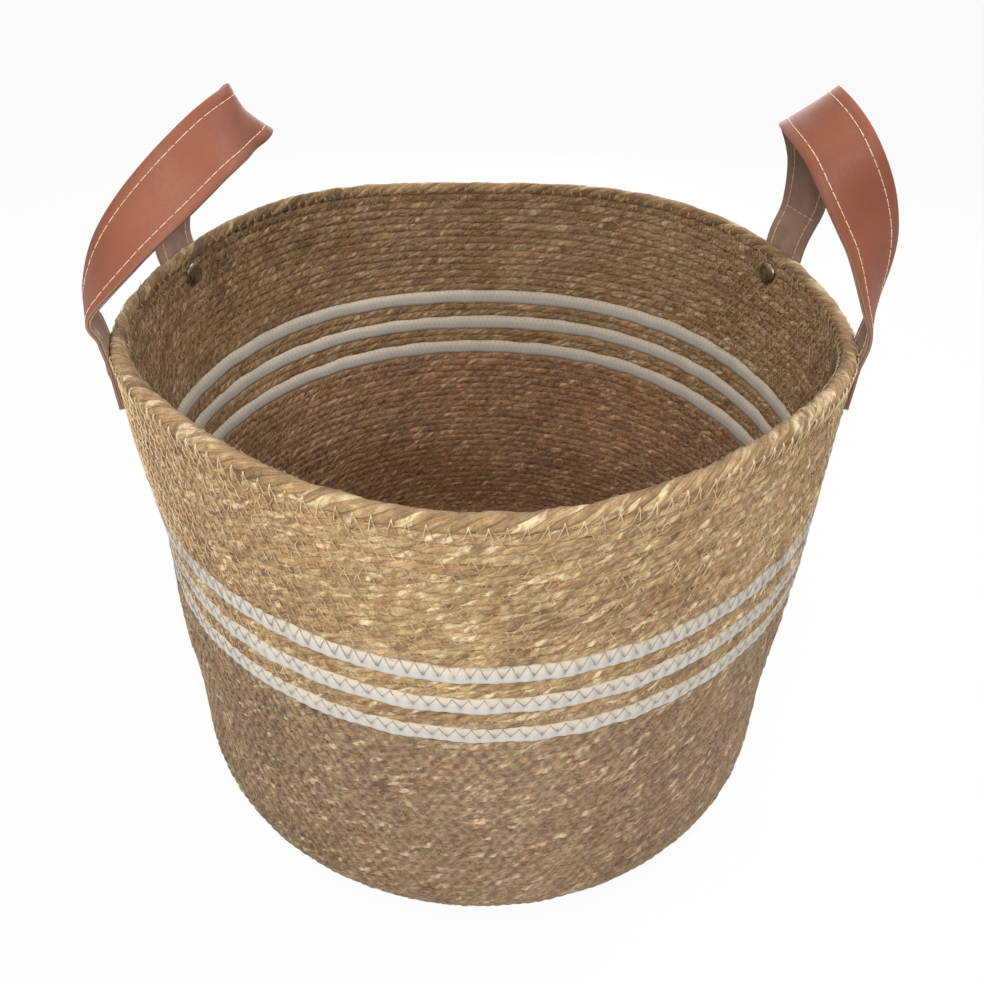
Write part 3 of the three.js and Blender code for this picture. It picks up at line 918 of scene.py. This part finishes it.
def rgb(red, green, blue):
    """A colour as seen, from 0 to 255, as Blender's linear numbers."""

    def line(value):
        value /= 255
        return value / 12.92 if value <= 0.04045 else ((value + 0.055) / 1.055) ** 2.4

    return (line(red), line(green), line(blue), 1)


class Value:
    """An output of a shader node. Sums with it add Math nodes."""

    def __init__(self, paint, socket):
        self.paint, self.socket = paint, socket

    def __add__(self, other):
        return self.paint.maths("ADD", self, other)

    def __sub__(self, other):
        return self.paint.maths("SUBTRACT", self, other)

    def __rsub__(self, other):
        return self.paint.maths("SUBTRACT", other, self)

    def __mul__(self, other):
        return self.paint.maths("MULTIPLY", self, other)

    def __truediv__(self, other):
        return self.paint.maths("DIVIDE", self, other)

    def __rtruediv__(self, other):
        return self.paint.maths("DIVIDE", other, self)


class Paint:
    """Adds nodes to a node tree. Their inputs are numbers, colours or Values."""

    def __init__(self, tree):
        self.tree = tree

    def add(self, kind, output, inputs=None, **settings):
        """A new node's output, or a list of them where output is a tuple."""
        made = self.tree.nodes.new(kind)
        for key, value in settings.items():
            setattr(made, key, value)
        for key, value in (inputs or {}).items():
            self.feed(made.inputs[key], value)
        if isinstance(output, tuple):
            return [Value(self, made.outputs[key]) for key in output]
        return Value(self, made.outputs[output])

    def feed(self, socket, value):
        if isinstance(value, Value):
            self.tree.links.new(value.socket, socket)
        else:
            socket.default_value = value

    def maths(self, operation, first, second=0.0):
        return self.add("ShaderNodeMath", 0, {0: first, 1: second}, operation=operation)

    def mix(self, factor, first, second, mode="MIX"):
        inputs = {0: factor, 6: first, 7: second}
        return self.add("ShaderNodeMix", 2, inputs, data_type="RGBA", blend_type=mode)

    def ramp(self, value, low, high, to_low=0.0, to_high=1.0):
        inputs = {"Value": value, "From Min": low, "From Max": high, "To Min": to_low, "To Max": to_high}
        return self.add("ShaderNodeMapRange", 0, inputs)

    def noise(self, place, scale, detail, roughness, distortion=0.0):
        inputs = {"Vector": place, "Scale": scale, "Detail": detail, "Roughness": roughness,
                  "Distortion": distortion}
        return self.add("ShaderNodeTexNoise", "Fac", inputs)

    def chance(self, key, dimensions):
        """Four chance numbers from 0 to 1 that belong to a key."""
        own, colour = self.add("ShaderNodeTexWhiteNoise", ("Value", "Color"), {"Vector": key},
                               noise_dimensions=dimensions)
        return [own, *self.add("ShaderNodeSeparateColor", (0, 1, 2), {0: colour})]

    def point(self, x, y, z=0.0):
        return self.add("ShaderNodeCombineXYZ", 0, {0: x, 1: y, 2: z})

    def place(self):
        return self.add("ShaderNodeTexCoord", "Object")

    def cord(self):
        """The way along a cord in metres, and the number of the strand."""
        return self.add("ShaderNodeSeparateXYZ", (0, 1), {0: self.add("ShaderNodeUVMap", 0, uv_map="cord")})

    def tone(self, name):
        return self.add("ShaderNodeAttribute", "Fac", attribute_name=name)

    def colours(self, value, scale):
        """A ColorRamp with colours at their places: {place: colour}."""
        made = self.tree.nodes.new("ShaderNodeValToRGB")
        self.feed(made.inputs[0], value)
        stops = made.color_ramp.elements
        while len(stops) < len(scale):
            stops.new(0.5)
        for stop, (position, colour) in zip(stops, sorted(scale.items())):
            stop.position = position
            stop.color = colour
        return Value(self, made.outputs[0])

    def surface(self, colour, roughness, height=None, strength=0.0, distance=0.0, others=None):
        """A Principled shader, joined to the material's output. Its bump comes from a height."""
        inputs = {"Base Color": colour, "Roughness": roughness, **(others or {})}
        if height is not None:
            bump = {"Height": height, "Strength": strength, "Distance": distance}
            inputs["Normal"] = self.add("ShaderNodeBump", 0, bump)
        self.add("ShaderNodeOutputMaterial", (), {0: self.add("ShaderNodeBsdfPrincipled", 0, inputs)})


def new_material(name):
    material = bpy.data.materials.new(name)
    material.use_nodes = True
    material.node_tree.nodes.clear()
    return material, Paint(material.node_tree)


def open_group(name, inputs):
    """A new node group's Paint and its inputs, given as {title: value}."""
    group = bpy.data.node_groups.new(name, "ShaderNodeTree")
    for title, value in inputs.items():
        socket = group.interface.new_socket(title, in_out="INPUT", socket_type="NodeSocketFloat")
        socket.default_value = value
    paint = Paint(group)
    return paint, paint.add("NodeGroupInput", tuple(inputs))


def close_group(paint, results):
    for title in results:
        paint.tree.interface.new_socket(title, in_out="OUTPUT", socket_type="NodeSocketFloat")
    paint.add("NodeGroupOutput", (), results)
    return paint.tree


def floor_paint():
    """White paint that shows as white to the camera and still keeps the basket's shadow."""
    material, paint = new_material("white_floor")
    white = {"Base Color": (0.86, 0.86, 0.86, 1), "Roughness": 1.0}
    shader = paint.add("ShaderNodeBsdfPrincipled", 0, white)
    glow = paint.add("ShaderNodeEmission", 0, {"Color": (1, 1, 1, 1), "Strength": 1.0})
    seen = seen_directly(paint) * SEEN_WHITE
    mixed = paint.add("ShaderNodeMixShader", 0, {0: seen, 1: shader, 2: glow})
    paint.add("ShaderNodeOutputMaterial", (), {0: mixed})
    return material


FIBRE_VALUES = ("Tone", "Tint", "Cell", "Taper", "Streaks", "Hairs", "Mottle", "Crease", "Height")


def fibre_group():
    """Strands of plant fibre laid side by side in a twisted cord, and pinched by the sewing.

    Tone and Tint belong to a whole strand, Cell to its stretch between two stitches. Cell is painted light
    and shade, as each stretch is lit its own way, and Crease marks where painted shade goes between the
    strands and at the stitches.
    """
    given = {"Cell Length": 0.0052, "Waver": 0.5, "Fineness": 1.0, "Fibre Length": 1.0}
    paint, (cell_length, wavering, fineness, fibre_length) = open_group("laid_fibres", given)
    along, across = paint.cord()
    seed = paint.tone("row") * 97.0
    waver = paint.noise(paint.point(along * 260.0, across, seed), 1.0, 2.0, 0.6) - 0.5
    bundle = waver * wavering + across
    number = paint.maths("FLOOR", bundle)
    part = paint.maths("FRACT", bundle)
    tone, _, tint, start = paint.chance(paint.point(number, seed), "2D")
    cell = part * -0.4 + (along / cell_length + (start * 3.0 + waver * 1.3))
    cell_tone = paint.chance(paint.point(paint.maths("FLOOR", cell), number, seed), "3D")[0]

    def stretched(long, fine, *ways):
        return paint.noise(paint.point(along * long, bundle * fine, seed), 1.0, *ways)

    streaks = stretched(150.0 / fibre_length, fineness * 4.6, 3.0, 0.62, 0.6)
    hairs = stretched(480.0 / fibre_length, fineness * 15.0, 2.0, 0.7, 0.8)
    mottle = stretched(270.0, 1.2, 2.0, 0.6, 0.4)
    edge = paint.maths("PINGPONG", part, 0.5) * 2.0
    cell_edge = paint.maths("PINGPONG", cell, 0.5) * 2.0
    cell_crease = paint.ramp(cell_edge, 0.16, 0.02) * paint.ramp(streaks, 0.42, 0.6)
    taper = paint.ramp(streaks * 1.2 + cell_edge, 0.62, 0.95)
    crease = paint.maths("MAXIMUM", paint.ramp(edge, 0.24, 0.02), cell_crease)
    dome = paint.maths("POWER", edge, 0.5) * paint.ramp(cell_edge, 0.0, 0.5, 0.45, 1.0)
    height = hairs * 0.45 + (streaks * 0.8 + dome * 0.75)
    values = (tone, tint, cell_tone, taper, streaks, hairs, mottle, crease, height)
    return close_group(paint, dict(zip(FIBRE_VALUES, values)))


def needle_group():
    """Small holes where the needle went through a cord, in a line along its middle."""
    given = {"Spacing": 0.0048, "Width": 0.0011, "Scatter": 0.5, "Missing": 0.0}
    paint, (spacing, width, scatter, missing) = open_group("needle_holes", given)
    step = paint.cord()[0] / spacing + 0.5
    key = paint.point(paint.maths("FLOOR", step), paint.tone("row") * 53.0)
    own, aside, over, size = paint.chance(key, "2D")
    first = (paint.maths("FRACT", step) - 0.5 - (aside - 0.5) * scatter) * spacing
    second = (paint.tone("rise") - (over - 0.5) * (scatter * 3.0)) * 0.0021
    far = paint.add("ShaderNodeVectorMath", "Value", {0: paint.point(first, second)}, operation="LENGTH")
    ragged = paint.noise(paint.place(), 1100.0, 2.0, 0.6) - 0.5
    far = ragged * (scatter * 0.0014) + far
    size = width * (size * 0.5 + 0.35)
    hole = paint.ramp(far, size * 0.45, size, 1.0, 0.0) * paint.maths("GREATER_THAN", own, missing)
    return close_group(paint, {"Hole": hole})


def jute_fibre(name, fibres, needle, colours, look):
    """Dry twisted jute: each strand has its own tone, with fine hairs and needle holes. Painted shade
    darkens its creases, its grooves, its needle holes, its inner side and its parts low down, and pale
    flecks are painted highlights.
    """
    material, paint = new_material(name)
    rise, inner = paint.tone("rise"), paint.tone("inner")
    outer = 1.0 - inner
    given = {"Fineness": look["fineness"], "Fibre Length": look["fibre_length"],
             "Cell Length": look["cell"], "Waver": look["waver"]}
    tone, tint, cell, taper, streaks, hairs, mottle, crease, height = paint.add(
        "ShaderNodeGroup", FIBRE_VALUES, given, node_tree=fibres)
    given = {"Spacing": ROW_STITCH * MM, "Width": look["hole_width"], "Scatter": 0.3,
             "Missing": look["missing"]}
    hole = paint.add("ShaderNodeGroup", "Hole", given, node_tree=needle)
    place = paint.place()
    patches = paint.noise(place, 22.0, 3.0, 0.6)
    fuzz = paint.noise(place, 800.0, 3.0, 0.75, 2.0)
    x, z = paint.add("ShaderNodeSeparateXYZ", (0, 2), {0: place})
    # Needle holes show less at the front, at the right and near the floor; where they show, they darken the
    # colour with painted shade and dent the bump
    plain = paint.ramp(paint.maths("ABSOLUTE", x), 0.03, 0.09, look["front_holes"], 1.0)
    plain = plain * paint.ramp(z, 0.004, 0.03, 0.25, 1.0)
    plain = plain * paint.ramp(x, 0.0, 0.09, 1.0, look["right_holes"])
    hole = hole * (plain * outer + inner * 0.35)
    # Cell gives each stretch between stitches its own painted light and shade; each strand keeps its own
    # real tone
    tone = cell * look["cell_tone"] + tone * look["strand_tone"]
    for value, low, high, share in ((mottle, 0.32, 0.68, "mottle"), (streaks, 0.28, 0.72, "streaks"),
                                    (hairs, 0.3, 0.7, "hairs"), (fuzz, 0.35, 0.7, "fuzz")):
        tone = paint.ramp(value, low, high) * look[share] + tone
    colour = paint.colours((patches - 0.5) * 0.5 + tone - look["darker"], colours)
    # Painted highlights: pale flecks on single stretches of strand, as if they catch the light
    fleck = paint.ramp(cell, 0.8, 0.86) * paint.ramp(mottle, 0.4, 0.6) * taper
    colour = paint.mix(fleck * look["fleck"], colour, look["pale"])
    for low, high, shade in TINTS:
        colour = paint.mix(paint.ramp(tint, low, high, 0.0, 0.42), colour, shade, "MULTIPLY")
    # Painted shade on the inner side of the wall
    colour = paint.mix(inner, colour, look["inner"], "MULTIPLY")
    # Painted shade low down on the outside: under the middle white cord on the jute rows, and near the floor
    # on the lower wall
    low, high, worn = look["worn"]
    colour = paint.mix(paint.ramp(z, low, high, worn, 0.0) * outer, colour, FIBRE_SHADE_COLOUR)
    # Painted shade in the grooves between rows, in the creases between strands and at the stitches, and in
    # the needle holes; weaker inside and where fuzz lies over the groove
    groove = paint.ramp(paint.maths("ABSOLUTE", rise), 0.75, 1.0, 0.0, look["groove"])
    groove = groove * paint.ramp(inner, 0.0, 1.0, 1.0, look["inner_groove"])
    groove = groove * paint.ramp(fuzz, 0.65, 0.35, 0.35, 1.0)
    dark = paint.maths("MAXIMUM", crease * look["crease"], groove)
    dark = paint.maths("MAXIMUM", dark, hole * look["hole"])
    colour = paint.mix(dark, colour, FIBRE_SHADE_COLOUR)
    height = hole * -0.9 + (fuzz * 0.45 + height)
    paint.surface(colour, paint.ramp(hairs, 0.3, 0.7, 0.62, 0.85), height, 0.9, look["bump"])
    return material


def white_cotton(name, needle):
    """Smooth braided cotton: cream above its stitches and a greyer white below, the grey being painted
    shade, with a hole at each stitch. Painted shade also darkens the holes, the hollows at the stitches, the
    gaps of the braid and the inner side.
    """
    material, paint = new_material(name)
    rise, inner = paint.tone("rise"), paint.tone("inner")
    outer = 1.0 - inner
    along = paint.cord()[0] * (1 / 0.0028)
    around = rise * 0.7
    left, right = (paint.maths("PINGPONG", way, 0.5) for way in (along + around, along - around))
    braid = paint.maths("MAXIMUM", left, right) * 2.0
    place = paint.place()
    fluff = paint.noise(place, 1300.0, 3.0, 0.6)
    stains = paint.noise(place, 75.0, 4.0, 0.65)
    given = {"Spacing": WHITE_STITCHES[1] * MM, "Scatter": 0.05}
    hole, stitch_hollow_shade = (
        paint.add("ShaderNodeGroup", "Hole", dict(given, Width=width), node_tree=needle) * outer
        for width in (0.0010, 0.0030)
    )
    # Painted shade in the gaps of the braid, stronger on the inner side
    braid_gap_shade = paint.ramp(braid, 0.42, 0.12) * (inner * 0.35 + 0.12)
    # Cream on the upper half, and a greyer white on the lower half, which is painted shade
    colour = paint.mix(paint.ramp(rise, 0.1, 0.7), rgb(200, 195, 187), rgb(211, 198, 178))
    # Real stains, then painted shade in the braid's gaps, in the hollows at the stitches and in the needle
    # holes
    for share, shade in ((paint.ramp(stains, 0.35, 0.75, 0.0, 0.5), rgb(196, 188, 176)),
                         (braid_gap_shade, rgb(140, 130, 118)),
                         (stitch_hollow_shade * 0.18, rgb(160, 152, 142)),
                         (hole * 0.4, rgb(120, 110, 100))):
        colour = paint.mix(share, colour, shade)
    # Painted shade on the inner side
    colour = paint.mix(inner, colour, (0.84, 0.82, 0.8, 1), "MULTIPLY")
    height = hole * -1.0 + (fluff * 0.5 + braid * 0.35)
    paint.surface(colour, 0.8, height, 0.45, 0.0005)
    return material


def spun_thread(name, pale, dark, roughness):
    material, paint = new_material(name)
    tone = paint.noise(paint.place(), 130.0, 2.0, 0.5)
    paint.surface(paint.mix(paint.ramp(tone, 0.35, 0.65), dark, pale), roughness)
    return material


def tan_leather():
    """Smooth tan leather: soft cloudy tone, fine pores and a satin finish."""
    material, paint = new_material("tan_leather")
    place = paint.place()
    clouds = paint.noise(place, 18.0, 3.0, 0.55)
    specks = paint.noise(place, 900.0, 2.0, 0.6)
    colour = paint.mix(paint.ramp(clouds, 0.35, 0.68), rgb(126, 74, 54), rgb(142, 86, 65))
    colour = paint.mix(paint.ramp(specks, 0.5, 0.75, 0.0, 0.25), colour, rgb(120, 68, 48))
    colour = paint.mix(paint.ramp(paint.tone("cut_edge"), 0.3, 0.8, 0.0, 0.8), colour, rgb(150, 120, 102))
    pores = paint.add("ShaderNodeTexVoronoi", "Distance", {"Vector": place, "Scale": 1400.0})
    paint.surface(colour, paint.ramp(specks, 0.3, 0.7, 0.46, 0.6), pores, 0.12, 0.0003,
                  {"Specular IOR Level": 0.2})
    return material


def suede():
    material, paint = new_material("brown_suede")
    place = paint.place()
    clouds = paint.noise(place, 90.0, 4.0, 0.65)
    nap = paint.noise(place, 1800.0, 3.0, 0.7)
    colour = paint.mix(paint.ramp(clouds, 0.3, 0.7), rgb(136, 108, 92), rgb(164, 135, 116))
    colour = paint.mix(paint.ramp(nap, 0.35, 0.7, 0.0, 0.4), colour, rgb(96, 72, 60))
    paint.surface(colour, 0.9, nap, 0.4, 0.0004)
    return material


def old_bronze():
    material, paint = new_material("old_bronze")
    patina = paint.noise(paint.place(), 380.0, 4.0, 0.65)
    colour = paint.mix(paint.ramp(patina, 0.35, 0.7), rgb(112, 102, 84), rgb(158, 146, 122))
    paint.surface(colour, paint.ramp(patina, 0.3, 0.7, 0.2, 0.38), patina, 0.15, 0.0003, {"Metallic": 0.9})
    return material


photo_camera()
studio()
# The colour of the painted shade on the jute: in creases, grooves, needle holes and low down
FIBRE_SHADE_COLOUR = rgb(70, 48, 30)
JUTE_TONES = {
    0.10: rgb(112, 84, 54),
    0.35: rgb(160, 126, 86),
    0.55: rgb(188, 154, 110),
    0.75: rgb(216, 184, 138),
    0.95: rgb(246, 222, 178),
}
LOWER_TONES = {
    0.10: rgb(98, 73, 50),
    0.35: rgb(140, 112, 80),
    0.55: rgb(163, 134, 100),
    0.75: rgb(187, 157, 118),
    0.95: rgb(222, 193, 151),
}
# Some strands are reddish and some greenish: where their Tint lies between the two numbers
TINTS = ((0.18, 0.08, (1.0, 0.78, 0.68, 1)), (0.82, 0.92, (0.86, 0.94, 0.72, 1)))
JUTE_LOOK = {
    "strand_tone": 0.2,
    "cell_tone": 0.3,
    "mottle": 0.32,
    "streaks": 0.26,
    "hairs": 0.14,
    "fuzz": 0.18,
    "darker": 0.16,
    # fleck and pale set how strong and how pale the painted highlights are
    "fleck": 0.8,
    "pale": rgb(250, 228, 186),
    # crease, groove and hole set how strong the painted shade is in creases, grooves and needle holes
    "crease": 0.4,
    "groove": 0.5,
    "inner_groove": 1.0,
    "hole": 0.55,
    "hole_width": 0.0024,
    "missing": 0.25,
    "front_holes": 0.5,
    "right_holes": 0.8,
    "bump": 0.0007,
    # inner is painted shade multiplied over the inner side of the wall
    "inner": (0.68, 0.62, 0.57, 1),
    "worn": (0.146, 0.158, 0.16),
    "cell": 0.0066,
    "waver": 0.5,
    "fineness": 1.0,
    "fibre_length": 1.0,
}
# The lower wall: its inner colour is painted shade inside, and worn darkens it near the floor
LOWER_LOOK = dict(JUTE_LOOK, strand_tone=0.08, cell_tone=0.24, mottle=0.4, streaks=0.3, fuzz=0.34,
                  darker=0.23, pale=rgb(232, 206, 170), crease=0.08, groove=0.3, inner_groove=0.4, hole=0.8,
                  hole_width=0.0028, missing=0.1, front_holes=0.6, right_holes=0.5, bump=0.0006,
                  inner=(0.88, 0.73, 0.66, 1), worn=(0.0, 0.06, 0.22), cell=0.009)
# The rim: its inner colour is painted shade on its inner side
RIM_LOOK = dict(JUTE_LOOK, strand_tone=0.38, cell_tone=0.16, mottle=0.26, streaks=0.38, hairs=0.3,
                darker=0.38, crease=0.55, groove=0.45, hole=0.0, cell=0.012, waver=0.25, fineness=1.7,
                fibre_length=2.2, inner=(0.62, 0.56, 0.48, 1))
groups = fibre_group(), needle_group()
jute = jute_fibre("jute_fibre", *groups, JUTE_TONES, JUTE_LOOK)
rim_jute = jute_fibre("rim_fibre", *groups, JUTE_TONES, RIM_LOOK)
lower_jute = jute_fibre("worn_jute_fibre", *groups, LOWER_TONES, LOWER_LOOK)
cotton = white_cotton("white_cotton", groups[1])
sewing_thread = spun_thread("sewing_thread", rgb(232, 208, 168), rgb(196, 164, 122), 0.75)
# The thread inside the wall is the same thread, painted darker as shade
shaded_inner_thread = spun_thread("shaded_inner_sewing_thread", rgb(182, 158, 120), rgb(142, 116, 84), 0.8)
lower_thread = spun_thread("worn_sewing_thread", rgb(198, 172, 140), rgb(150, 122, 94), 0.8)
pale_thread = spun_thread("thread_on_white", rgb(176, 164, 150), rgb(150, 138, 124), 0.75)
fibre_hair = spun_thread("loose_fibre", rgb(226, 196, 148), rgb(160, 124, 82), 0.7)
edge_thread = spun_thread("cream_thread", rgb(228, 196, 166), rgb(214, 178, 144), 0.6)
woven_body(jute, rim_jute, lower_jute, cotton)
sewing(sewing_thread, shaded_inner_thread, lower_thread, pale_thread)
RIM_TOP = length_at(RIM_HEIGHT)
loose_fibres("loose_fibres_upper", length_at(UPPER_BOTTOM), RIM_TOP - 3, 3600, fibre_hair, SEED + 70)
loose_fibres("loose_fibres_lower", 8, length_at(LOWER_TOP) - 3, 4400, lower_thread, SEED + 71, 0.9, 0.09)
loose_fibres("frayed_rim_fibres", RIM_TOP - 12, RIM_TOP - 2.4, 600, fibre_hair, SEED + 72, 0.6, 0.09, 0.24)
handle_pieces(tan_leather(), suede(), edge_thread, old_bronze())
